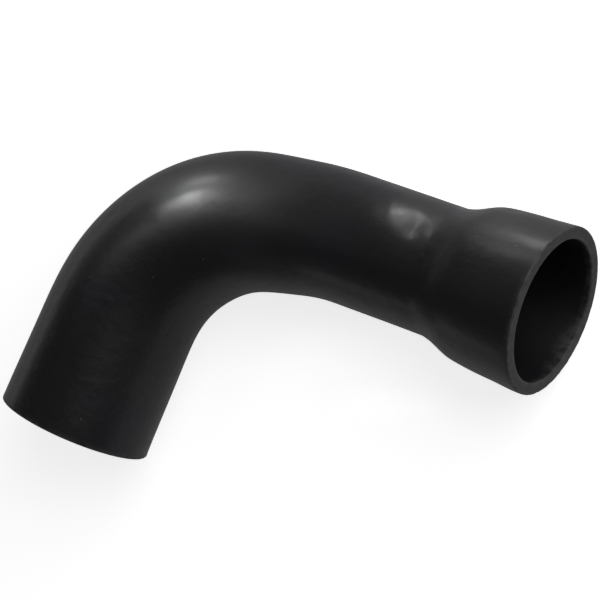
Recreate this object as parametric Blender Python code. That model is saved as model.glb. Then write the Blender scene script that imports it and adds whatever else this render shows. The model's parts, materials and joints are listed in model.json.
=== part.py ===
"""Moulded rubber charge-air hose: a tapering elbow with a belled cuff at one end.

The hose is one moulding. Its bore is the driving shape, as on the mandrel that such a hose
is cured on, and the wall stands on it. The wall's section is turned about a straight axis,
and each point is then carried onto the bent centreline. The hose lies on its side, on the
floor at z = 0, with the cuff facing +X and the elbow's open end facing -Y.
"""

import math

import bmesh
import bpy
import numpy as np
from mathutils import Matrix, Vector
from mathutils.geometry import intersect_point_tri

MM = 0.001

# Wall and trimmed ends
WALL = 4.5 * MM
LIP_RADIUS = 0.6 * MM

# Bore radii, in order from the cuff's mouth to the elbow's open end
CUFF_MOUTH_BORE = 25.5 * MM
CUFF_MIDDLE_BORE = 25.0 * MM
CUFF_BACK_BORE = 23.45 * MM
SHOULDER_FOOT_BORE = 19.85 * MM
NECK_BORE = 19.15 * MM
LEG_BORE = 19.25 * MM
ELBOW_START_BORE = 20.3 * MM
ELBOW_MIDDLE_BORE = 23.5 * MM
ELBOW_FINISH_BORE = 24.6 * MM
OPEN_END_BORE = 25.2 * MM

# Lengths along the centreline, in the same order
CUFF_MOUTH_LENGTH = 13.0 * MM
CUFF_BACK_LENGTH = 15.0 * MM
SHOULDER_LENGTH = 11.0 * MM
NECK_LENGTH = 4.0 * MM
LEG_LENGTH = 36.0 * MM
FIRST_BEND_LENGTH = 25.0 * MM
ELBOW_LENGTH = 105.0 * MM
OPEN_END_LENGTH = 32.5 * MM

# Bends, both in the one plane that the hose lies in
FIRST_BEND_ANGLE = math.radians(9.3)
ELBOW_ANGLE = math.radians(75.4)
BEND_EASE = 0.25  # share of a bend over which its curvature builds up, and fades again

# Fineness of the mesh
AROUND = 40
RINGS_PER_STRETCH = (2, 3, 5, 2, 3, 4, 8, 8, 3)
LIP_STEPS = 2
CENTRELINE_STEP = 0.1 * MM
SMOOTH_UP_TO = math.radians(40)

# Rubber, as seen in a plain light
RUBBER_COLOUR = (0.014, 0.014, 0.015, 1.0)
RUBBER_ROUGHNESS = 0.42

# Each stretch of the hose: its length, and the bore radius at its far end
STRETCHES = (
    (CUFF_MOUTH_LENGTH, CUFF_MIDDLE_BORE),
    (CUFF_BACK_LENGTH, CUFF_BACK_BORE),
    (SHOULDER_LENGTH, SHOULDER_FOOT_BORE),
    (NECK_LENGTH, NECK_BORE),
    (LEG_LENGTH, LEG_BORE),
    (FIRST_BEND_LENGTH, ELBOW_START_BORE),
    (ELBOW_LENGTH / 2, ELBOW_MIDDLE_BORE),
    (ELBOW_LENGTH / 2, ELBOW_FINISH_BORE),
    (OPEN_END_LENGTH, OPEN_END_BORE),
)
LENGTH = sum(length for length, _ in STRETCHES)
LEG_END = LENGTH - OPEN_END_LENGTH - ELBOW_LENGTH - FIRST_BEND_LENGTH
BENDS = (
    (LEG_END, FIRST_BEND_LENGTH, FIRST_BEND_ANGLE),
    (LEG_END + FIRST_BEND_LENGTH, ELBOW_LENGTH, ELBOW_ANGLE),
)


def clear_scene():
    """Removes whatever the scene starts with."""
    for item in list(bpy.data.objects):
        bpy.data.objects.remove(item, do_unlink=True)


def bore_stations():
    """Returns the stations where the bore radius is set, and the radius at each."""
    stations = np.cumsum([0.0] + [length for length, _ in STRETCHES])
    radii = np.array([CUFF_MOUTH_BORE] + [radius for _, radius in STRETCHES])
    return stations, radii


def ring_stations():
    """Returns the stations of the rings, spread evenly over each stretch."""
    stations, _ = bore_stations()
    rings = [0.0]
    for start, end, count in zip(stations, stations[1:], RINGS_PER_STRETCH):
        rings += [start + (end - start) * step / count for step in range(1, count + 1)]
    return np.array(rings)


def smooth_radius(at):
    """Returns the bore radius at a station, on a smooth curve with no overshoot."""
    stations, radii = bore_stations()
    widths = np.diff(stations)
    rises = np.diff(radii) / widths
    slopes = np.zeros(len(radii))
    slopes[0], slopes[-1] = rises[0], rises[-1]
    for i in range(1, len(rises)):
        before, after = rises[i - 1], rises[i]
        if before * after > 0:
            slopes[i] = 2 * before * after / (before + after)
    span = min(int(np.searchsorted(stations, at, side="right")) - 1, len(widths) - 1)
    width = widths[span]
    t = (at - stations[span]) / width
    return (
        (1 + 2 * t) * (1 - t) ** 2 * radii[span]
        + t * (1 - t) ** 2 * width * slopes[span]
        + t * t * (3 - 2 * t) * radii[span + 1]
        - t * t * (1 - t) * width * slopes[span + 1]
    )


def centreline():
    """Returns finely spaced stations, with the centreline's points and heading at each."""
    stations = np.linspace(0.0, LENGTH, round(LENGTH / CENTRELINE_STEP) + 1)
    steps = np.diff(stations)
    heading = np.full(len(stations), math.pi)
    for start, length, angle in BENDS:
        along = np.clip((stations - start) / length, 0.0, 1.0)
        ramp = np.clip(np.minimum(along, 1.0 - along) / BEND_EASE, 0.0, 1.0)
        curvature = ramp * ramp * (3.0 - 2.0 * ramp)
        turned = np.concatenate([[0.0], np.cumsum((curvature[1:] + curvature[:-1]) / 2 * steps)])
        heading += angle * turned / turned[-1]
    middle = (heading[1:] + heading[:-1]) / 2
    x = np.concatenate([[0.0], np.cumsum(np.cos(middle) * steps)])
    y = np.concatenate([[0.0], np.cumsum(np.sin(middle) * steps)])
    return stations, x, y, heading


def rounded_edge(station, radius, inward, outward):
    """Returns the points that round one edge of a trimmed end, from its flat face on.

    inward is +1 or -1, the way along the hose that leads away from the end. outward is +1
    for the outer edge and -1 for the bore's edge.
    """
    points = []
    for step in range(LIP_STEPS + 1):
        angle = math.pi / 2 * step / LIP_STEPS
        along = station + inward * LIP_RADIUS * (1 - math.sin(angle))
        across = radius - outward * LIP_RADIUS * (1 - math.cos(angle))
        points.append((along, across))
    return points[::-1]


def wall_section():
    """Returns the wall's closed outline as (station, radius), once round the wall."""
    rings = ring_stations()[1:-1]
    bore = [(s, smooth_radius(s)) for s in rings]
    skin = [(s, smooth_radius(s) + WALL) for s in rings]
    mouth, end = smooth_radius(0.0), smooth_radius(LENGTH)
    return (
        rounded_edge(0.0, mouth, 1, -1)
        + bore
        + rounded_edge(LENGTH, end, -1, -1)[::-1]
        + rounded_edge(LENGTH, end + WALL, -1, 1)
        + skin[::-1]
        + rounded_edge(0.0, mouth + WALL, 1, 1)[::-1]
    )


def turn_section(mesh_builder):
    """Turns the wall's section once about the X axis, with stations lying along X."""
    section = [mesh_builder.verts.new((s, r, 0.0)) for s, r in wall_section()]
    edges = [
        mesh_builder.edges.new((a, b)) for a, b in zip(section, section[1:] + section[:1])
    ]
    bmesh.ops.spin(
        mesh_builder,
        geom=section + edges,
        cent=(0.0, 0.0, 0.0),
        axis=(1.0, 0.0, 0.0),
        angle=2 * math.pi,
        steps=AROUND,
        use_merge=True,
    )


def bend_onto_centreline(mesh_builder):
    """Carries each point of the straight hose onto the bent centreline."""
    stations, xs, ys, headings = centreline()
    for vert in mesh_builder.verts:
        s, side, up = vert.co
        heading = np.interp(s, stations, headings)
        x = np.interp(s, stations, xs) - math.sin(heading) * side
        y = np.interp(s, stations, ys) + math.cos(heading) * side
        vert.co = (x, y, up)


def centre_of_mass(mesh_builder):
    """Returns the centre of the wall's volume."""
    volume, moment = 0.0, Vector()
    for a, b, c in (f.verts for f in mesh_builder.faces):
        share = a.co.dot(b.co.cross(c.co)) / 6
        volume += share
        moment += share * (a.co + b.co + c.co) / 4
    return moment / volume


def resting_turn(mesh):
    """Returns the turn that lays the hose on the side of its hull that carries it."""
    builder = bmesh.new()
    builder.from_mesh(mesh)
    bmesh.ops.triangulate(builder, faces=builder.faces)
    centre = centre_of_mass(builder)
    hull = bmesh.ops.convex_hull(builder, input=builder.verts, use_existing_faces=False)
    sides = []
    for side in (item for item in hull["geom"] if isinstance(item, bmesh.types.BMFace)):
        corners = [vert.co for vert in side.verts]
        normal = (corners[1] - corners[0]).cross(corners[2] - corners[0]).normalized()
        if normal.dot(corners[0] - centre) < 0:
            normal = -normal
        foot = centre + normal * normal.dot(corners[0] - centre)
        if intersect_point_tri(foot, *corners) is not None:
            sides.append(normal.copy())
    down = min(sides, key=lambda normal: normal.z)
    builder.free()
    return down.rotation_difference(Vector((0.0, 0.0, -1.0))).to_matrix().to_4x4()


def lay_on_floor(hose):
    """Lays the hose on z = 0, with the origin under the middle of its outline."""
    turn = resting_turn(hose.data)
    corners = np.array([turn @ vert.co for vert in hose.data.vertices])
    low, high = corners.min(axis=0), corners.max(axis=0)
    middle = (low + high) / 2
    hose.matrix_world = Matrix.Translation((-middle[0], -middle[1], -low[2])) @ turn


def rubber():
    """Returns the hose's plain black rubber."""
    material = bpy.data.materials.new("black_rubber")
    material.use_nodes = True
    shader = material.node_tree.nodes["Principled BSDF"]
    shader.inputs["Base Color"].default_value = RUBBER_COLOUR
    shader.inputs["Roughness"].default_value = RUBBER_ROUGHNESS
    shader.inputs["Metallic"].default_value = 0.0
    material.diffuse_color = RUBBER_COLOUR
    return material


def build_hose():
    """Builds the hose as one closed body and lays it on the floor."""
    builder = bmesh.new()
    turn_section(builder)
    bend_onto_centreline(builder)
    mesh = bpy.data.meshes.new("hose")
    builder.to_mesh(mesh)
    builder.free()
    mesh.shade_smooth()
    mesh.set_sharp_from_angle(angle=SMOOTH_UP_TO)
    hose = bpy.data.objects.new("hose", mesh)
    bpy.context.scene.collection.objects.link(hose)
    mesh.materials.append(rubber())
    lay_on_floor(hose)
    return hose


clear_scene()
build_hose()
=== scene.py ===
"""A moulded rubber turbo hose, lying on its side on a pale studio floor.

The hose is a belled cuff, a rounded shoulder, a narrow neck, a straight leg, a slight bend and
a tapering elbow that ends in a short open leg. Everything is in metres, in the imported
model's frame.
"""
import json
import logging
import math
from dataclasses import dataclass, field
from enum import Enum
from typing import Any, NamedTuple

import bmesh
import bpy
import numpy as np
from mathutils import Euler, Matrix, Vector


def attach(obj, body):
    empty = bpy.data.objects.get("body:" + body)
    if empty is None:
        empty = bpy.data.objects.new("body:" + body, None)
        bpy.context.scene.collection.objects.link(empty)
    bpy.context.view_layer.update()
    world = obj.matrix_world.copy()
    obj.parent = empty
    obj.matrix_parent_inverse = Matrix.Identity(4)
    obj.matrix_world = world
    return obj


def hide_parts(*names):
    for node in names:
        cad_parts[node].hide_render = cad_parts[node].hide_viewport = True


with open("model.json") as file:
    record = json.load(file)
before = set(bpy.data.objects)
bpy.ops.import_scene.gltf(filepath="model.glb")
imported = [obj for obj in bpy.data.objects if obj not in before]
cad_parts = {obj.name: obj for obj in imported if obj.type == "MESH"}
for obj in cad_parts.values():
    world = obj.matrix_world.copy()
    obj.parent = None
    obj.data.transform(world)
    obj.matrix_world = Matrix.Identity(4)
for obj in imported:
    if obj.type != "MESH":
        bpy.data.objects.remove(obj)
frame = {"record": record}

LOG = logging.getLogger("turbo_hose")

MM = 0.001
NODE = "hose"
BODY = "root"
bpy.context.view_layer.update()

Colour = tuple[float, float, float, float]
Spot = tuple[float, float, float]
Socket = bpy.types.NodeSocket
BLACK: Colour = (0.0, 0.0, 0.0, 1.0)
WHITE: Colour = (1.0, 1.0, 1.0, 1.0)

# A soft form has faded to exp(-2), about a seventh, at its stated reach
FADE = 2.0


class Surface(Enum):
    """The three kinds of surface on the hose, with the material index of each."""

    SKIN = 0
    TRIM = 1
    BORE = 2


class MarkKind(Enum):
    """The small flaws of a moulding, with the way that each moves the skin, out or in."""

    PIP = 1.0
    DENT = -1.0


class WallPoint(NamedTuple):
    """One point of the wall's outline.

    depth is measured inwards from the skin, and near is the distance from the closest lip.
    """

    station: float
    depth: float
    surface: Surface
    near: float


def turn_from(clock: float, clocks: np.ndarray) -> np.ndarray:
    """Returns the shorter turn from one clock angle to each of the others."""
    return np.angle(np.exp(1j * (clocks - clock)))


@dataclass(frozen=True)
class SkinMark:
    """One small flaw in the skin.

    station is the distance along the centreline from the cuff's mouth, and clock the angle
    round the section, from the outer side of the bends, up over the top.
    """

    kind: MarkKind
    station: float
    clock: float
    radius: float
    height: float

    def offset(self, stations: np.ndarray, clocks: np.ndarray, radii: np.ndarray) -> np.ndarray:
        """Finds how far the mark moves the skin.

        Args:
            stations: Distances along the centreline.
            clocks: Angles round the section.
            radii: The skin's radius at each station.

        Returns:
            The offset at each point.
        """
        across = turn_from(self.clock, clocks) * radii
        far = ((stations - self.station) ** 2 + across ** 2) / self.radius ** 2
        return self.kind.value * self.height * np.exp(-FADE * far)


@dataclass(frozen=True)
class Swelling:
    """A soft, broad unevenness of the skin, as the mandrel and the wrapping leave it.

    length and spread are its reach along the hose and round it.
    """

    station: float
    clock: float
    length: float
    spread: float
    height: float

    def offset(self, stations: np.ndarray, clocks: np.ndarray) -> np.ndarray:
        """Finds how far the swelling moves the skin.

        Args:
            stations: Distances along the centreline.
            clocks: Angles round the section.

        Returns:
            The offset at each point.
        """
        turn = turn_from(self.clock, clocks)
        far = ((stations - self.station) / self.length) ** 2 + (turn / self.spread) ** 2
        return self.height * np.exp(-FADE * far)


@dataclass(frozen=True)
class SkinWave:
    """One slow wave in the skin.

    around is its number of crests round the section. length is how far along the hose it goes
    while it turns by one radian, and a negative one winds the other way. sway is how far it
    leans to and fro round the section.
    """

    share: float
    around: int
    length: float
    phase: float
    sway: float = 0.0
    sway_phase: float = 0.4

    def height(self, stations: np.ndarray, clocks: np.ndarray) -> np.ndarray:
        """Finds the height of the wave.

        Args:
            stations: Distances along the centreline.
            clocks: Angles round the section.

        Returns:
            The height at each point, as a share of the waves' common height.
        """
        lean = self.sway * np.sin(clocks + self.sway_phase)
        turned = self.around * clocks + stations / self.length
        return self.share * np.sin(turned + self.phase + lean)


@dataclass(frozen=True)
class KnifeMark:
    """One wave of the ragged edge that the trimming knife leaves round a rim."""

    share: float
    around: int
    phase: float

    def height(self, clocks: np.ndarray) -> np.ndarray:
        """Returns the wave's height at each clock angle, as a share of the raggedness."""
        return self.share * np.sin(self.around * clocks + self.phase)


@dataclass(frozen=True)
class Stretch:
    """One stretch of the hose: its length, and the bore radius at its far end."""

    length: float
    end_bore: float


@dataclass(frozen=True)
class HoseForm:
    """The sizes of the hose, from the cuff's mouth on, and its two smooth curves."""

    wall: float = 4.5 * MM
    lip_radius: float = 0.6 * MM
    mouth_bore: float = 25.5 * MM
    cuff_mouth: Stretch = Stretch(13.0 * MM, 25.0 * MM)
    cuff_back: Stretch = Stretch(15.0 * MM, 23.45 * MM)
    shoulder: Stretch = Stretch(11.0 * MM, 19.85 * MM)
    neck: Stretch = Stretch(4.0 * MM, 19.15 * MM)
    leg: Stretch = Stretch(36.0 * MM, 19.25 * MM)
    first_bend: Stretch = Stretch(25.0 * MM, 20.3 * MM)
    elbow_entry: Stretch = Stretch(52.5 * MM, 23.5 * MM)
    elbow_exit: Stretch = Stretch(52.5 * MM, 24.6 * MM)
    open_end: Stretch = Stretch(32.5 * MM, 25.2 * MM)
    first_bend_angle: float = math.radians(9.3)
    elbow_angle: float = math.radians(75.4)
    bend_ease: float = 0.25
    fine_step: float = 0.1 * MM

    @property
    def stretches(self) -> tuple[Stretch, ...]:
        """The stretches in order.

        Returns:
            The nine stretches, from the cuff's mouth to the open end.
        """
        cuff = (self.cuff_mouth, self.cuff_back, self.shoulder, self.neck)
        elbow = (self.first_bend, self.elbow_entry, self.elbow_exit, self.open_end)
        return (*cuff, self.leg, *elbow)

    @property
    def length(self) -> float:
        """The length of the centreline."""
        return sum(stretch.length for stretch in self.stretches)

    def bends(self) -> tuple[tuple[float, float, float], ...]:
        """Finds where the two bends lie.

        Returns:
            For each bend, the station at which it starts, its length and its angle.
        """
        elbow_length = self.elbow_entry.length + self.elbow_exit.length
        elbow_start = self.length - self.open_end.length - elbow_length
        first_length = self.first_bend.length
        return (
            (elbow_start - first_length, first_length, self.first_bend_angle),
            (elbow_start, elbow_length, self.elbow_angle),
        )

    def bore(self, at: np.ndarray) -> np.ndarray:
        """Finds the bore radius along the hose.

        Args:
            at: Stations along the centreline.

        Returns:
            The bore radius at each station, on a smooth curve with no overshoot.
        """
        knots = np.cumsum([0.0] + [stretch.length for stretch in self.stretches])
        radii = np.array([self.mouth_bore] + [stretch.end_bore for stretch in self.stretches])
        widths = np.diff(knots)
        rises = np.diff(radii) / widths
        slopes = np.zeros(len(radii))
        slopes[0], slopes[-1] = rises[0], rises[-1]
        for i in range(1, len(rises)):
            before, after = rises[i - 1], rises[i]
            if before * after > 0:
                slopes[i] = 2 * before * after / (before + after)
        span = np.clip(np.searchsorted(knots, at, side="right") - 1, 0, len(widths) - 1)
        width = widths[span]
        t = (at - knots[span]) / width
        return (
            (1 + 2 * t) * (1 - t) ** 2 * radii[span]
            + t * (1 - t) ** 2 * width * slopes[span]
            + t * t * (3 - 2 * t) * radii[span + 1]
            - t * t * (1 - t) * width * slopes[span + 1]
        )

    def centreline(self) -> tuple[np.ndarray, np.ndarray, np.ndarray, np.ndarray]:
        """Lays the centreline out in the plane of the bends.

        Returns:
            Finely spaced stations, with the centreline's x, y and heading at each.
        """
        stations = np.linspace(0.0, self.length, round(self.length / self.fine_step) + 1)
        steps = np.diff(stations)
        heading = np.full(len(stations), math.pi)
        for start, length, angle in self.bends():
            along = np.clip((stations - start) / length, 0.0, 1.0)
            ramp = np.clip(np.minimum(along, 1.0 - along) / self.bend_ease, 0.0, 1.0)
            curvature = ramp * ramp * (3.0 - 2.0 * ramp)
            halves = (curvature[1:] + curvature[:-1]) / 2 * steps
            turned = np.concatenate([[0.0], np.cumsum(halves)])
            heading += angle * turned / turned[-1]
        middle = (heading[1:] + heading[:-1]) / 2
        x = np.concatenate([[0.0], np.cumsum(np.cos(middle) * steps)])
        y = np.concatenate([[0.0], np.cumsum(np.sin(middle) * steps)])
        return stations, x, y, heading


@dataclass(frozen=True)
class HosePlace:
    """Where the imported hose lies, found from the flat faces at its two ends."""

    cuff_mount: str = "cuff_end"
    elbow_mount: str = "elbow_end"
    mount_radius: float = 27.75 * MM

    def matrix(self) -> Matrix:
        """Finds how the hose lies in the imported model.

        Returns:
            The matrix from the hose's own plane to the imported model's frame.
        """
        mounts = {mount["name"]: mount for mount in frame["record"]["mounts"]}
        forward = Vector(mounts[self.cuff_mount]["axis"]).normalized()
        up = Vector(mounts[self.elbow_mount]["axis"]).cross(forward).normalized()
        if up.z < 0:
            up.negate()
        side = up.cross(forward).normalized()
        origin = Vector(mounts[self.cuff_mount]["pos_m"]) - up * self.mount_radius
        turn = Matrix((forward, side, up)).transposed().to_4x4()
        return Matrix.Translation(origin) @ turn


@dataclass(frozen=True)
class NodeBench:
    """Short calls for adding and joining the nodes of one tree."""

    tree: bpy.types.NodeTree

    def add(self, kind: str, **settings: Any) -> bpy.types.Node:
        """Adds a node.

        Args:
            kind: The node's Blender type.
            settings: The node's own properties.

        Returns:
            The new node.
        """
        node = self.tree.nodes.new(kind)
        for name, value in settings.items():
            setattr(node, name, value)
        return node

    def feed(self, socket: Socket, value: Any) -> None:
        """Sets one input, or joins it to an output.

        Args:
            socket: The input.
            value: A value for the input, or the output socket that feeds it.
        """
        if isinstance(value, Socket):
            self.tree.links.new(value, socket)
        else:
            socket.default_value = value

    def put(self, node: bpy.types.Node, values: dict[str, Any]) -> None:
        """Feeds several inputs of a node.

        Args:
            node: The node.
            values: For each input's name, a value or the output socket that feeds it.
        """
        for name, value in values.items():
            self.feed(node.inputs[name], value)

    def math(
        self,
        operation: str,
        first: float | Socket,
        second: float | Socket,
        clamp: bool = False,
    ) -> Socket:
        """Adds a Math node.

        Args:
            operation: The Math operation.
            first: A number or a socket.
            second: A number or a socket.
            clamp: Whether the result is kept from 0 to 1.

        Returns:
            The result's socket.
        """
        node = self.add("ShaderNodeMath", operation=operation, use_clamp=clamp)
        for socket, value in zip(node.inputs, (first, second)):
            self.feed(socket, value)
        return node.outputs[0]

    def blend(self, factor: Socket, first: Colour | Socket, second: Colour | Socket) -> Socket:
        """Adds a Mix node for colours.

        Args:
            factor: The share of the second colour.
            first: The first colour or its socket.
            second: The second colour or its socket.

        Returns:
            The mixed colour's socket.
        """
        node = self.add("ShaderNodeMix", data_type="RGBA")
        colours = [socket for socket in node.inputs if socket.type == "RGBA"]
        self.feed(node.inputs[0], factor)
        self.feed(colours[0], first)
        self.feed(colours[1], second)
        return next(socket for socket in node.outputs if socket.type == "RGBA")

    def noise(
        self, place: Socket, scale: float | Socket, detail: float, roughness: float
    ) -> Socket:
        """Adds a Noise texture.

        Args:
            place: The socket of the coordinates.
            scale: How many features there are to a metre.
            detail: The number of finer layers.
            roughness: How strong the finer layers are.

        Returns:
            The noise value's socket.
        """
        node = self.add("ShaderNodeTexNoise", noise_dimensions="3D")
        self.put(node, {"Vector": place, "Scale": scale, "Detail": detail, "Roughness": roughness})
        return node.outputs["Fac"]

    def ramp(self, value: Socket, low: float, high: float) -> Socket:
        """Adds a clamped, smooth Map Range to 0 to 1.

        Args:
            value: The socket to map.
            low: The value that gives 0.
            high: The value that gives 1.

        Returns:
            The mapped value's socket.
        """
        node = self.add("ShaderNodeMapRange", interpolation_type="SMOOTHSTEP")
        self.put(node, {"Value": value, "From Min": low, "From Max": high})
        return node.outputs["Result"]

    def coordinates(self) -> Socket:
        """Returns the socket of the object's own coordinates."""
        return self.add("ShaderNodeTexCoord").outputs["Object"]


class SharedEffect:
    """A shader node group, built once for all the materials that use it."""

    name: str = "effect"
    inputs: tuple[tuple[str, str, Any], ...] = ()
    outputs: tuple[tuple[str, str], ...] = ()

    def tree(self) -> bpy.types.NodeTree:
        """Finds the group's tree, and builds it the first time.

        Returns:
            The group's tree.
        """
        made = bpy.data.node_groups.get(self.name)
        if made is not None:
            return made
        tree = bpy.data.node_groups.new(self.name, "ShaderNodeTree")
        for label, kind, value in self.inputs:
            socket = tree.interface.new_socket(label, in_out="INPUT", socket_type=kind)
            socket.default_value = value
        for label, kind in self.outputs:
            tree.interface.new_socket(label, in_out="OUTPUT", socket_type=kind)
        bench = NodeBench(tree)
        self.fill(bench, bench.add("NodeGroupInput"), bench.add("NodeGroupOutput"))
        return tree

    def fill(self, bench: NodeBench, given: bpy.types.Node, result: bpy.types.Node) -> None:
        """Builds the nodes between the group's inputs and outputs.

        Args:
            bench: The group's bench.
            given: The group's input node.
            result: The group's output node.
        """
        raise NotImplementedError

    def place(self, bench: NodeBench, values: dict[str, Any]) -> bpy.types.Node:
        """Places the group in a material.

        Args:
            bench: The material's bench.
            values: The values or sockets for the group's inputs.

        Returns:
            The group node.
        """
        node = bench.add("ShaderNodeGroup", node_tree=self.tree())
        bench.put(node, values)
        return node


class RubberGrain(SharedEffect):
    """The fine, uneven grain of cured rubber, over a slow ripple of the skin."""

    name = "rubber_grain"
    inputs = (
        ("Grain Scale", "NodeSocketFloat", 1400.0),
        ("Ripple Scale", "NodeSocketFloat", 120.0),
        ("Ripple Share", "NodeSocketFloat", 0.5),
    )
    outputs = (("Height", "NodeSocketFloat"), ("Mask", "NodeSocketFloat"))

    def fill(self, bench: NodeBench, given: bpy.types.Node, result: bpy.types.Node) -> None:
        """Mixes a fine noise with a slow one.

        Args:
            bench: The group's bench.
            given: The group's input node.
            result: The group's output node.
        """
        place = bench.coordinates()
        fine = bench.noise(place, given.outputs["Grain Scale"], detail=3.0, roughness=0.55)
        slow = bench.noise(place, given.outputs["Ripple Scale"], detail=2.0, roughness=0.4)
        share = given.outputs["Ripple Share"]
        slow_part = bench.math("MULTIPLY", slow, share)
        fine_part = bench.math("MULTIPLY", fine, bench.math("SUBTRACT", 1.0, share))
        bench.put(result, {"Height": bench.math("ADD", slow_part, fine_part), "Mask": fine})


class Bloom(SharedEffect):
    """The pale, uneven haze that wax and dust leave on black rubber, and a painted cool
    reflection.
    """

    name = "rubber_bloom"
    inputs = (
        ("Colour", "NodeSocketColor", BLACK),
        ("Haze", "NodeSocketColor", BLACK),
        ("Tint", "NodeSocketColor", BLACK),
        ("Amount", "NodeSocketFloat", 0.5),
        ("Patch Scale", "NodeSocketFloat", 30.0),
    )
    outputs = (("Colour", "NodeSocketColor"), ("Mask", "NodeSocketFloat"))
    speckles_to_a_patch: float = 22.0
    reflection_patch_scale: float = 17.0

    def fill(self, bench: NodeBench, given: bpy.types.Node, result: bpy.types.Node) -> None:
        """Lays a haze and a painted cool reflection over the colour, in patches.

        Args:
            bench: The group's bench.
            given: The group's input node.
            result: The group's output node.
        """
        place = bench.coordinates()
        patch_scale = given.outputs["Patch Scale"]
        speckle_scale = bench.math("MULTIPLY", patch_scale, self.speckles_to_a_patch)
        patch = bench.noise(place, patch_scale, detail=4.0, roughness=0.6)
        speckle = bench.noise(place, speckle_scale, detail=2.0, roughness=0.5)
        patch_mask = bench.ramp(patch, low=0.4, high=0.72)
        speckle_mask = bench.ramp(speckle, low=0.2, high=0.8)
        mask = bench.math("MULTIPLY", patch_mask, speckle_mask)
        mask = bench.math("MULTIPLY", mask, given.outputs["Amount"], clamp=True)
        # Bluish patches in random places: a painted cool reflection, not a colour of the rubber
        reflection_noise = bench.noise(place, self.reflection_patch_scale, detail=2.0, roughness=0.5)
        reflection_mask = bench.ramp(reflection_noise, low=0.46, high=0.62)
        reflected = bench.blend(reflection_mask, given.outputs["Colour"], given.outputs["Tint"])
        hazed = bench.blend(mask, reflected, given.outputs["Haze"])
        bench.put(result, {"Colour": hazed, "Mask": mask})


class DustSpecks(SharedEffect):
    """A few pale specks of dust, each a fraction of a millimetre across."""

    name = "dust_specks"
    inputs = (
        ("Colour", "NodeSocketColor", BLACK),
        ("Dust", "NodeSocketColor", BLACK),
        ("Amount", "NodeSocketFloat", 0.5),
        ("Cell Scale", "NodeSocketFloat", 300.0),
    )
    outputs = (("Colour", "NodeSocketColor"), ("Mask", "NodeSocketFloat"))

    def fill(self, bench: NodeBench, given: bpy.types.Node, result: bpy.types.Node) -> None:
        """Puts a speck at the middle of a few of a Voronoi texture's cells.

        Args:
            bench: The group's bench.
            given: The group's input node.
            result: The group's output node.
        """
        cells = bench.add("ShaderNodeTexVoronoi")
        cell_scale = given.outputs["Cell Scale"]
        bench.put(cells, {"Vector": bench.coordinates(), "Scale": cell_scale})
        lottery = bench.add("ShaderNodeSeparateColor")
        bench.put(lottery, {"Color": cells.outputs["Color"]})
        picked = bench.ramp(lottery.outputs["Red"], low=0.96, high=0.98)
        near = bench.ramp(cells.outputs["Distance"], low=0.14, high=0.06)
        speck = bench.math("MULTIPLY", near, picked)
        mask = bench.math("MULTIPLY", speck, given.outputs["Amount"])
        mixed = bench.blend(mask, given.outputs["Colour"], given.outputs["Dust"])
        bench.put(result, {"Colour": mixed, "Mask": mask})


class LipWear(SharedEffect):
    """The rubbed, slightly greyer rubber along the trimmed lips."""

    name = "lip_wear"
    inputs = (
        ("Colour", "NodeSocketColor", BLACK),
        ("Worn", "NodeSocketColor", BLACK),
        ("Amount", "NodeSocketFloat", 0.5),
    )
    outputs = (("Colour", "NodeSocketColor"), ("Mask", "NodeSocketFloat"))
    attribute: str = "lip"
    patch_scale: float = 260.0

    def fill(self, bench: NodeBench, given: bpy.types.Node, result: bpy.types.Node) -> None:
        """Breaks the lip attribute up with noise and blends to the worn colour.

        Args:
            bench: The group's bench.
            given: The group's input node.
            result: The group's output node.
        """
        lip = bench.add("ShaderNodeAttribute", attribute_name=self.attribute).outputs["Fac"]
        noise = bench.noise(bench.coordinates(), self.patch_scale, detail=4.0, roughness=0.6)
        broken = bench.math("MULTIPLY", lip, bench.ramp(noise, low=0.32, high=0.62))
        mask = bench.math("MULTIPLY", broken, given.outputs["Amount"], clamp=True)
        mixed = bench.blend(mask, given.outputs["Colour"], given.outputs["Worn"])
        bench.put(result, {"Colour": mixed, "Mask": mask})


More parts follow.
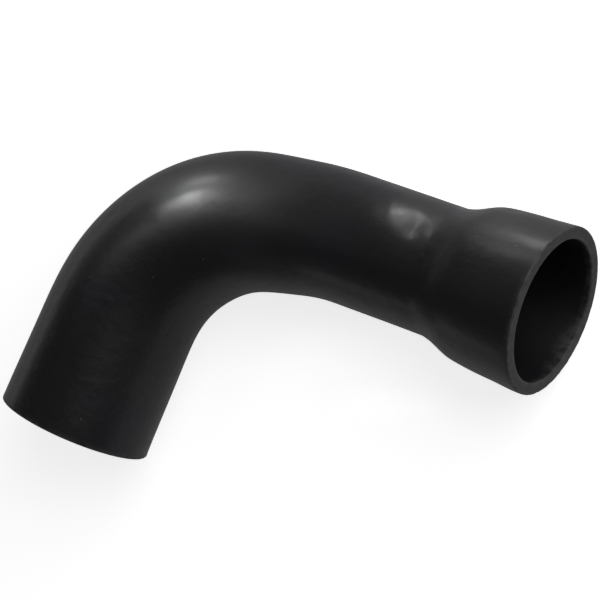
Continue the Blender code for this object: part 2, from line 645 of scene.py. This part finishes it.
@dataclass(frozen=True)
class RubberFinish:
    """One finish of the rubber: hazed colour with a painted cool reflection, worn lips, uneven
    gloss and a fine grain.
    """

    name: str
    colour: Colour
    # The bluish colour of the painted cool reflection, laid in random patches
    painted_cool_reflection: Colour
    haze: Colour
    worn: Colour
    haze_amount: float
    haze_patch_scale: float
    wear_amount: float
    roughness: float
    roughness_spread: float
    grain_scale: float
    ripple_scale: float
    ripple_share: float
    grain_depth: float

    def dusted(self, bench: NodeBench, colour: Socket) -> Socket:
        """Returns the colour with what lies on it, which is nothing on a plain finish."""
        return colour

    def gloss(self, bench: NodeBench, grain: bpy.types.Node, wear: bpy.types.Node) -> Socket:
        """Makes the roughness uneven with the grain.

        Args:
            bench: The material's bench.
            grain: The placed grain.
            wear: The placed wear, for finishes that are duller where they are worn.

        Returns:
            The roughness's socket.
        """
        spread = bench.math("MULTIPLY", grain.outputs["Mask"], self.roughness_spread)
        return bench.math("ADD", self.roughness - self.roughness_spread / 2, spread)

    def sheen(self) -> dict[str, float]:
        """Returns the shader's coat settings, of which a plain finish has none."""
        return {}

    def material(self) -> bpy.types.Material:
        """Builds the material.

        Returns:
            The finished material.
        """
        material = bpy.data.materials.new(self.name)
        material.use_nodes = True
        bench = NodeBench(material.node_tree)
        bloom = Bloom().place(
            bench,
            {
                "Colour": self.colour,
                "Haze": self.haze,
                "Tint": self.painted_cool_reflection,
                "Amount": self.haze_amount,
                "Patch Scale": self.haze_patch_scale,
            },
        )
        colour = self.dusted(bench, bloom.outputs["Colour"])
        wear = LipWear().place(
            bench, {"Colour": colour, "Worn": self.worn, "Amount": self.wear_amount}
        )
        grain = RubberGrain().place(
            bench,
            {
                "Grain Scale": self.grain_scale,
                "Ripple Scale": self.ripple_scale,
                "Ripple Share": self.ripple_share,
            },
        )
        bump = bench.add("ShaderNodeBump")
        bench.put(
            bump,
            {"Height": grain.outputs["Height"], "Strength": 1.0, "Distance": self.grain_depth},
        )
        bench.put(
            material.node_tree.nodes["Principled BSDF"],
            {
                "Base Color": wear.outputs["Colour"],
                "Roughness": self.gloss(bench, grain, wear),
                "Normal": bump.outputs["Normal"],
                **self.sheen(),
            },
        )
        material.diffuse_color = self.colour
        return material


@dataclass(frozen=True)
class MouldedSkin(RubberFinish):
    """The satin outside of the hose, with a little dust on it."""

    name: str = "moulded_rubber_skin"
    colour: Colour = (0.0095, 0.0095, 0.0098, 1.0)
    # Painted cool reflection: a bluish colour in random patches on the skin
    painted_cool_reflection: Colour = (0.0105, 0.0105, 0.016, 1.0)
    haze: Colour = (0.022, 0.022, 0.023, 1.0)
    worn: Colour = (0.05, 0.05, 0.05, 1.0)
    haze_amount: float = 0.5
    haze_patch_scale: float = 42.0
    wear_amount: float = 0.8
    roughness: float = 0.48
    roughness_spread: float = 0.1
    grain_scale: float = 1500.0
    ripple_scale: float = 240.0
    ripple_share: float = 0.85
    grain_depth: float = 0.26 * MM
    dust: Colour = (0.16, 0.155, 0.145, 1.0)
    dust_amount: float = 0.4
    worn_dulling: float = 0.2
    sheen_weight: float = 0.2
    sheen_roughness: float = 0.24

    def dusted(self, bench: NodeBench, colour: Socket) -> Socket:
        """Scatters specks of dust over the colour.

        Args:
            bench: The material's bench.
            colour: The colour's socket.

        Returns:
            The dusted colour's socket.
        """
        values = {"Colour": colour, "Dust": self.dust, "Amount": self.dust_amount}
        return DustSpecks().place(bench, values).outputs["Colour"]

    def gloss(self, bench: NodeBench, grain: bpy.types.Node, wear: bpy.types.Node) -> Socket:
        """Makes the roughness uneven with the grain, and duller where the lips are worn.

        Args:
            bench: The material's bench.
            grain: The placed grain.
            wear: The placed wear.

        Returns:
            The roughness's socket.
        """
        plain = super().gloss(bench, grain, wear)
        dulled = bench.math("MULTIPLY", wear.outputs["Mask"], self.worn_dulling)
        return bench.math("ADD", plain, dulled, clamp=True)

    def sheen(self) -> dict[str, float]:
        """Returns the shader's coat settings, which give the skin its soft shine."""
        return {"Coat Weight": self.sheen_weight, "Coat Roughness": self.sheen_roughness}


@dataclass(frozen=True)
class TrimmedFace(RubberFinish):
    """The flat, cut end faces: greyer and rougher than the skin."""

    name: str = "trimmed_rubber_face"
    colour: Colour = (0.03, 0.03, 0.031, 1.0)
    # Painted cool reflection: a faintly bluish colour in random patches on the cut faces
    painted_cool_reflection: Colour = (0.034, 0.034, 0.037, 1.0)
    haze: Colour = (0.06, 0.06, 0.061, 1.0)
    worn: Colour = (0.1, 0.1, 0.098, 1.0)
    haze_amount: float = 0.7
    haze_patch_scale: float = 160.0
    wear_amount: float = 0.7
    roughness: float = 0.55
    roughness_spread: float = 0.15
    grain_scale: float = 1700.0
    ripple_scale: float = 320.0
    ripple_share: float = 0.45
    grain_depth: float = 0.25 * MM


@dataclass(frozen=True)
class MandrelBore(RubberFinish):
    """The inside of the hose, duller where it came off the mandrel."""

    name: str = "mandrel_rubber_bore"
    colour: Colour = (0.007, 0.007, 0.007, 1.0)
    # Painted cool reflection: a faintly bluish colour in random patches in the bore
    painted_cool_reflection: Colour = (0.007, 0.007, 0.009, 1.0)
    haze: Colour = (0.015, 0.015, 0.015, 1.0)
    worn: Colour = (0.11, 0.11, 0.108, 1.0)
    haze_amount: float = 0.5
    haze_patch_scale: float = 60.0
    wear_amount: float = 0.6
    roughness: float = 0.5
    roughness_spread: float = 0.12
    grain_scale: float = 1100.0
    ripple_scale: float = 140.0
    ripple_share: float = 0.5
    grain_depth: float = 0.03 * MM


@dataclass(frozen=True)
class MouldedHose:
    """The one moulding: skin, bore and two trimmed ends, as one closed surface."""

    form: HoseForm = field(default_factory=HoseForm)
    place: HosePlace = field(default_factory=HosePlace)
    skin: MouldedSkin = field(default_factory=MouldedSkin)
    trim: TrimmedFace = field(default_factory=TrimmedFace)
    bore: MandrelBore = field(default_factory=MandrelBore)

    # Fineness of the mesh
    around: int = 176
    skin_ring_gap: float = 0.9 * MM
    bore_ring_gap: float = 2.2 * MM
    lip_steps: int = 5
    face_steps: int = 5

    # Soft unevenness, and the small flaws of the moulding
    swellings: tuple[Swelling, ...] = (
        Swelling(137 * MM, math.radians(78), 22 * MM, math.radians(60), 0.6 * MM),
        Swelling(58 * MM, math.radians(55), 7 * MM, math.radians(45), 0.3 * MM),
        Swelling(50 * MM, math.radians(60), 4.5 * MM, math.radians(14), -0.7 * MM),
        Swelling(27 * MM, 0.0, 8 * MM, math.radians(50), 0.35 * MM),
        Swelling(10 * MM, 0.0, 9 * MM, math.radians(50), -0.25 * MM),
        Swelling(3 * MM, math.pi, 8 * MM, math.radians(60), 0.5 * MM),
    )
    marks: tuple[SkinMark, ...] = (
        SkinMark(MarkKind.DENT, 93.8 * MM, math.radians(70), 1.5 * MM, 0.15 * MM),
        SkinMark(MarkKind.DENT, 55.6 * MM, math.radians(61), 1.2 * MM, 0.12 * MM),
        SkinMark(MarkKind.PIP, 42.0 * MM, math.radians(84), 1.5 * MM, 0.3 * MM),
        SkinMark(MarkKind.PIP, 186.0 * MM, math.radians(108), 1.5 * MM, 0.25 * MM),
        SkinMark(MarkKind.PIP, 12.3 * MM, math.radians(112), 1.5 * MM, 0.25 * MM),
    )
    waves: tuple[SkinWave, ...] = (
        SkinWave(1.0, 0, 9.3 * MM, 0.0, sway=1.7),
        SkinWave(0.7, 2, 17.0 * MM, 0.8),
        SkinWave(0.5, 3, -12.0 * MM, 2.1),
    )
    wave_height: float = 0.05 * MM
    wave_ease: float = 8.0 * MM

    # The cuff's slightly askew cut, and the knife's ragged edge
    mouth_skew: float = 0.9 * MM
    skew_reach: float = 20.0 * MM
    knife_marks: tuple[KnifeMark, ...] = (
        KnifeMark(0.3, 23, 0.6),
        KnifeMark(0.35, 41, 2.0),
        KnifeMark(0.35, 67, 0.0),
    )
    rag: float = 0.2 * MM
    rag_reach: float = 2.0 * MM
    rag_everywhere: float = 0.25

    # Wear of the lips, and the side where they are scuffed most. The flat faces wear as if
    # they lay face_inset away from a lip
    wear_reach: float = 1.6 * MM
    face_inset: float = 1.152 * MM
    scuff_clock: float = math.radians(240)
    scuff_spread: float = math.radians(52)
    scuff_reach: float = 7.0 * MM
    scuff_sharpness: int = 6

    def rounded_lip(
        self, station: float, inward: float, depth: float, outward: float
    ) -> list[WallPoint]:
        """Rounds one edge of a trimmed end.

        Args:
            station: Where the end lies along the hose.
            inward: 1 or -1, the way along the hose that leads away from the end.
            depth: How deep below the skin the edge lies.
            outward: 1 for the outer edge, and -1 for the bore's edge.

        Returns:
            The lip's points, from the flat face on.
        """
        lip = self.form.lip_radius
        points = []
        for step in range(self.lip_steps + 1):
            angle = math.pi / 2 * step / self.lip_steps
            along = station + inward * lip * (1 - math.cos(angle))
            into = depth + outward * lip * (1 - math.sin(angle))
            points.append(WallPoint(along, into, Surface.TRIM, 0.0))
        return points

    def lengthwise(self, gap: float, depth: float, surface: Surface) -> list[WallPoint]:
        """Runs along the bore or the skin, from the cuff to the open end.

        Args:
            gap: The distance between rings.
            depth: How deep below the skin the surface lies.
            surface: The kind of surface.

        Returns:
            One point for each ring.
        """
        lip, length = self.form.lip_radius, self.form.length
        straight = length - 2 * lip
        count = max(2, round(straight / gap))
        points = []
        for step in range(1, count):
            station = lip + straight * step / count
            near = min(station, length - station) - lip
            points.append(WallPoint(station, depth, surface, near))
        return points

    def across_face(self, station: float, first: float, last: float) -> list[WallPoint]:
        """Runs across a flat end face.

        Args:
            station: Where the face lies along the hose.
            first: The depth at which the face starts.
            last: The depth at which it ends.

        Returns:
            The points between the face's two lips.
        """
        return [
            WallPoint(
                station,
                first + (last - first) * step / self.face_steps,
                Surface.TRIM,
                self.face_inset,
            )
            for step in range(1, self.face_steps)
        ]

    def outline(self) -> list[WallPoint]:
        """Draws the wall's closed outline.

        Returns:
            The outline's points, from the cuff's bore edge, through the bore, round the open
            end, and back along the skin.
        """
        wall, lip, length = self.form.wall, self.form.lip_radius, self.form.length
        return [
            *self.rounded_lip(0.0, 1.0, wall, -1.0),
            *self.lengthwise(self.bore_ring_gap, wall, Surface.BORE),
            *self.rounded_lip(length, -1.0, wall, -1.0)[::-1],
            *self.across_face(length, wall - lip, lip),
            *self.rounded_lip(length, -1.0, 0.0, 1.0),
            *self.lengthwise(self.skin_ring_gap, 0.0, Surface.SKIN)[::-1],
            *self.rounded_lip(0.0, 1.0, 0.0, 1.0)[::-1],
            *self.across_face(0.0, lip, wall - lip),
        ]

    def clocks(self) -> np.ndarray:
        """Returns the clock angle of each point of a ring."""
        return np.arange(self.around) * 2 * math.pi / self.around

    def scuffing(self, clocks: np.ndarray) -> np.ndarray:
        """Returns how roughly the rims are cut and scuffed at each clock angle, up to 1."""
        return np.exp(-((turn_from(self.scuff_clock, clocks) / self.scuff_spread) ** 2))

    def wear(self, near: np.ndarray, clocks: np.ndarray) -> np.ndarray:
        """Finds how worn the rubber is near the lips.

        Args:
            near: Distances from the lip, one per ring.
            clocks: Angles round the section, one per point of a ring.

        Returns:
            The wear of each ring and point, from 0 to 1.
        """
        worst = self.scuffing(clocks) ** self.scuff_sharpness
        reach = self.wear_reach + (self.scuff_reach - self.wear_reach) * worst
        return np.clip(1.0 - near[:, None] / reach, 0.0, 1.0)

    def unevenness(self, stations: np.ndarray, clocks: np.ndarray) -> np.ndarray:
        """Finds how far the wall stands proud of its plain form.

        Args:
            stations: Distances along the centreline, one per ring.
            clocks: Angles round the section, one per point of a ring.

        Returns:
            The offset of each ring and point.
        """
        s, c = np.meshgrid(stations, clocks, indexing="ij")
        from_end = np.minimum(s, self.form.length - s)
        waves = sum(wave.height(s, c) for wave in self.waves)
        total = self.wave_height * waves * np.clip(from_end / self.wave_ease, 0.0, 1.0)
        knife = sum(mark.height(c) for mark in self.knife_marks)
        knife *= self.rag_everywhere + (1.0 - self.rag_everywhere) * self.scuffing(c)
        total += self.rag * knife * np.clip(1.0 - from_end / self.rag_reach, 0.0, 1.0)
        for swelling in self.swellings:
            total += swelling.offset(s, c)
        radii = self.form.bore(s) + self.form.wall
        for mark in self.marks:
            total += mark.offset(s, c, radii)
        return total

    def cut(self, stations: np.ndarray, clocks: np.ndarray) -> np.ndarray:
        """Finds how far the cuff's slightly askew cut moves each point along the hose.

        Args:
            stations: Distances along the centreline, one per ring.
            clocks: Angles round the section, one per point of a ring.

        Returns:
            The new station of each ring and point.
        """
        s, c = np.meshgrid(stations, clocks, indexing="ij")
        low = (1.0 - np.sin(c)) / 2
        return s - self.mouth_skew * low * np.clip(1.0 - s / self.skew_reach, 0.0, 1.0)

    def grid(self, outline: list[WallPoint]) -> np.ndarray:
        """Places the outline's points all round the bent centreline.

        Args:
            outline: The wall's closed outline.

        Returns:
            Points as an array of outline, around and x, y, z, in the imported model's frame,
            none of them below the floor.
        """
        stations = np.array([point.station for point in outline])
        depths = np.array([point.depth for point in outline])
        clocks = self.clocks()
        radius = (self.form.bore(stations) + self.form.wall - depths)[:, None]
        radius = radius + self.unevenness(stations, clocks)
        fine, xs, ys, headings = self.form.centreline()
        along = self.cut(stations, clocks)
        heading = np.interp(along, fine, headings)
        across, up = -radius * np.cos(clocks), radius * np.sin(clocks)
        before = np.minimum(along, 0.0)
        x = np.interp(along, fine, xs) - np.sin(heading) * across + np.cos(heading) * before
        y = np.interp(along, fine, ys) + np.cos(heading) * across + np.sin(heading) * before
        local = np.stack([x, y, up, np.ones_like(up)], axis=-1)
        placed = (local @ np.array(self.place.matrix()).T)[..., :3]
        placed[..., 2] = np.maximum(placed[..., 2], 0.0)
        return placed

    def quads(self, rows: int) -> np.ndarray:
        """Joins the rows of points to faces, the last row to the first.

        Args:
            rows: The number of points in the outline.

        Returns:
            The four corners of each face, in the order of the rows.
        """
        first = np.arange(rows)[:, None] * self.around + np.arange(self.around)[None]
        below = np.roll(first, -1, axis=0)
        corners = [first, np.roll(first, -1, axis=1), np.roll(below, -1, axis=1), below]
        return np.stack(corners, axis=-1).reshape(-1, 4)

    def row_surfaces(self, outline: list[WallPoint]) -> np.ndarray:
        """Finds the material index of each row of faces.

        Args:
            outline: The wall's closed outline.

        Returns:
            The index for the row from each point to the next. A row that only touches a
            trimmed end belongs to the skin or the bore.
        """
        here = np.array([point.surface.value for point in outline])
        after = np.roll(here, -1)
        trim = Surface.TRIM.value
        plain = np.where(here == trim, after, here)
        return np.where((here == trim) & (after == trim), trim, plain)

    def mesh(self) -> bpy.types.Mesh:
        """Makes the hose's mesh, with its surfaces and its worn lips marked.

        Returns:
            The mesh.
        """
        outline = self.outline()
        points = self.grid(outline)
        mesh = bpy.data.meshes.new("moulded_hose")
        mesh.from_pydata(points.reshape(-1, 3).tolist(), [], self.quads(len(outline)).tolist())
        indices = np.repeat(self.row_surfaces(outline), self.around).astype(np.int32)
        mesh.polygons.foreach_set("material_index", indices)
        wear = self.wear(np.array([point.near for point in outline]), self.clocks())
        lip = mesh.attributes.new(LipWear.attribute, "FLOAT", "POINT")
        lip.data.foreach_set("value", wear.ravel())
        mesh.shade_smooth()
        mesh.update()
        return mesh

    def build(self) -> bpy.types.Object:
        """Makes the hose, dresses it and puts it in the CAD solid's place.

        Returns:
            The hose's object.
        """
        mesh = self.mesh()
        for finish in (self.skin, self.trim, self.bore):
            mesh.materials.append(finish.material())
        hose = bpy.data.objects.new("moulded_hose", mesh)
        bpy.context.scene.collection.objects.link(hose)
        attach(hose, BODY)
        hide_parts(NODE)
        return hose


@dataclass(frozen=True)
class StudioFloor:
    """A wide, pale floor that fills the view and keeps the hose's soft shadow."""

    half_width: float = 3.0
    segments: int = 8
    colour: Colour = (0.8, 0.8, 0.8, 1.0)
    seen_white: float = 0.8
    mirrored_white: float = 0.1

    def material(self) -> bpy.types.Material:
        """Builds a pale material that the camera sees as white where no shadow falls on it.

        Returns:
            The finished material.
        """
        material = bpy.data.materials.new("studio_floor")
        material.use_nodes = True
        tree = material.node_tree
        tree.nodes.clear()
        bench = NodeBench(tree)
        diffuse = bench.add("ShaderNodeBsdfDiffuse")
        bench.put(diffuse, {"Color": self.colour})
        path = bench.add("ShaderNodeLightPath")
        seen = bench.math("MULTIPLY", path.outputs["Is Camera Ray"], self.seen_white)
        glossy, through = path.outputs["Is Glossy Ray"], path.outputs["Is Transmission Ray"]
        mirrored = bench.math("ADD", glossy, through, clamp=True)
        mirrored = bench.math("MULTIPLY", mirrored, self.mirrored_white)
        glow = bench.add("ShaderNodeEmission")
        bench.put(glow, {"Color": WHITE, "Strength": bench.math("ADD", seen, mirrored)})
        both = bench.add("ShaderNodeAddShader")
        bench.feed(both.inputs[0], diffuse.outputs[0])
        bench.feed(both.inputs[1], glow.outputs[0])
        bench.put(bench.add("ShaderNodeOutputMaterial"), {"Surface": both.outputs[0]})
        return material

    def build(self) -> bpy.types.Object:
        """Lays the floor.

        Returns:
            The floor's object.
        """
        builder = bmesh.new()
        bmesh.ops.create_grid(
            builder, x_segments=self.segments, y_segments=self.segments, size=self.half_width
        )
        mesh = bpy.data.meshes.new("studio_floor")
        builder.to_mesh(mesh)
        builder.free()
        mesh.materials.append(self.material())
        floor = bpy.data.objects.new("studio_floor", mesh)
        bpy.context.scene.collection.objects.link(floor)
        return floor


@dataclass(frozen=True)
class SoftBox:
    """One rectangular studio light, aimed at a point from a compass angle and a height.

    glow is the brightness of its bare face, where 1 is a lit white wall. spread is the opening
    of the grid in front of it, which gathers the same light into a narrower beam. All angles
    are in degrees.
    """

    name: str
    azimuth: float
    elevation: float
    distance: float
    width: float
    height: float
    glow: float
    aim: Spot = (0.0, 0.0, 0.03)
    spread: float = 180.0

    def build(self) -> bpy.types.Object:
        """Hangs the light, out of the camera's sight.

        Returns:
            The light's object.
        """
        a, e = math.radians(self.azimuth), math.radians(self.elevation)
        away = Vector((math.cos(a) * math.cos(e), math.sin(a) * math.cos(e), math.sin(e)))
        lamp = bpy.data.lights.new(self.name, "AREA")
        lamp.shape = "RECTANGLE"
        lamp.size, lamp.size_y = self.width, self.height
        lamp.energy = self.glow * math.pi * self.width * self.height
        lamp.spread = math.radians(self.spread)
        light = bpy.data.objects.new(self.name, lamp)
        light.location = Vector(self.aim) + away * self.distance
        light.rotation_euler = away.to_track_quat("Z", "Y").to_euler()
        light.visible_camera = False
        bpy.context.scene.collection.objects.link(light)
        return light


@dataclass(frozen=True)
class Studio:
    """The lights, the world and the camera round the hose.

    camera_turn is in degrees, and lens and sensor are in millimetres.
    """

    elbow_spot: Spot = (-0.0365, 0.0325, 0.0545)
    elbow_rise: Spot = (-0.034, 0.038, 0.052)
    elbow_fall: Spot = (-0.046, 0.022, 0.056)
    leg_spot: Spot = (0.045, 0.0535, 0.047)
    cuff_spot: Spot = (0.085, 0.058, 0.048)
    floor_spot: Spot = (0.03, 0.1, 0.0)
    world_grey: float = 0.04
    camera_place: Spot = (0.36585, 0.07583, 0.68218)
    camera_turn: Spot = (5.045, 28.915, 20.548)
    lens: float = 123.744
    sensor: float = 36.0

    def lights(self) -> tuple[SoftBox, ...]:
        """Lists the lights: broad ones far off, and small gridded ones near the hose.

        Returns:
            The lights, each with its name, azimuth, elevation, distance, width, height and
            glow, and the small ones also with their aim and spread.
        """
        return (
            SoftBox("side_fill", 48, 42, 1.4, 1.1, 1.2, 2.1),
            SoftBox("low_window", 120, 3, 1.3, 0.8, 0.45, 0.55),
            SoftBox("left_window", 172, 3, 1.3, 0.9, 0.45, 0.8),
            SoftBox("near_window", -124, 8, 1.3, 0.5, 0.3, 0.8),
            SoftBox("back_fill", 180, 62, 1.3, 0.9, 0.6, 0.08),
            SoftBox("floor_glow", 75, 65, 0.4, 0.05, 0.05, 0.5, self.floor_spot, 18),
            SoftBox("elbow_core", 153, 45, 0.3, 0.022, 0.008, 0.4, self.elbow_spot, 3),
            SoftBox("elbow_key", 150, 42, 0.3, 0.025, 0.03, 0.42, self.elbow_rise, 8),
            SoftBox("elbow_halo", 140, 20, 0.3, 0.06, 0.1, 0.2, self.elbow_rise, 16),
            SoftBox("elbow_left", 165, 61, 0.12, 0.06, 0.06, 0.13, self.elbow_fall, 38),
            SoftBox("leg_core", 117, 12, 0.2, 0.01, 0.012, 0.29, self.leg_spot, 4),
            SoftBox("leg_key", 120, 28, 0.2, 0.014, 0.02, 0.14, self.leg_spot, 6),
            SoftBox("cuff_key_low", 112, 5, 0.3, 0.06, 0.06, 0.2, self.cuff_spot, 16),
            SoftBox("cuff_key_high", 125, 25, 0.3, 0.06, 0.06, 0.06, self.cuff_spot, 16),
        )

    def build_world(self) -> bpy.types.World:
        """Makes a dim grey world that the camera sees as white.

        Returns:
            The world.
        """
        world = bpy.data.worlds.new("studio_world")
        world.use_nodes = True
        bench = NodeBench(world.node_tree)
        path = bench.add("ShaderNodeLightPath")
        level = bench.math("MULTIPLY", path.outputs["Is Camera Ray"], 1.0 - self.world_grey)
        level = bench.math("ADD", level, self.world_grey)
        bench.put(world.node_tree.nodes["Background"], {"Color": WHITE, "Strength": level})
        bpy.context.scene.world = world
        return world

    def build_camera(self) -> bpy.types.Object:
        """Sets the scene's camera up at the photograph's viewing angle.

        Returns:
            The camera's object.
        """
        data = bpy.data.cameras.new("studio_camera")
        data.sensor_width = self.sensor
        data.lens = self.lens
        camera = bpy.data.objects.new("studio_camera", data)
        camera.location = self.camera_place
        camera.rotation_euler = Euler([math.radians(angle) for angle in self.camera_turn])
        bpy.context.scene.collection.objects.link(camera)
        bpy.context.scene.camera = camera
        return camera

    def build(self) -> None:
        """Sets up the view, the world, the lights and the camera."""
        bpy.context.scene.view_settings.view_transform = "Standard"
        self.build_world()
        for light in self.lights():
            light.build()
        self.build_camera()


def main() -> None:
    """Builds the hose and the studio round it, and reports each piece."""
    logging.basicConfig(level=logging.INFO, format="%(message)s")
    hose = MouldedHose().build()
    LOG.info("%s: %d faces", hose.name, len(hose.data.polygons))
    floor = StudioFloor().build()
    LOG.info("%s: stage", floor.name)
    Studio().build()
    LOG.info("studio: lights, world and camera")


if __name__ == "__main__":
    main()
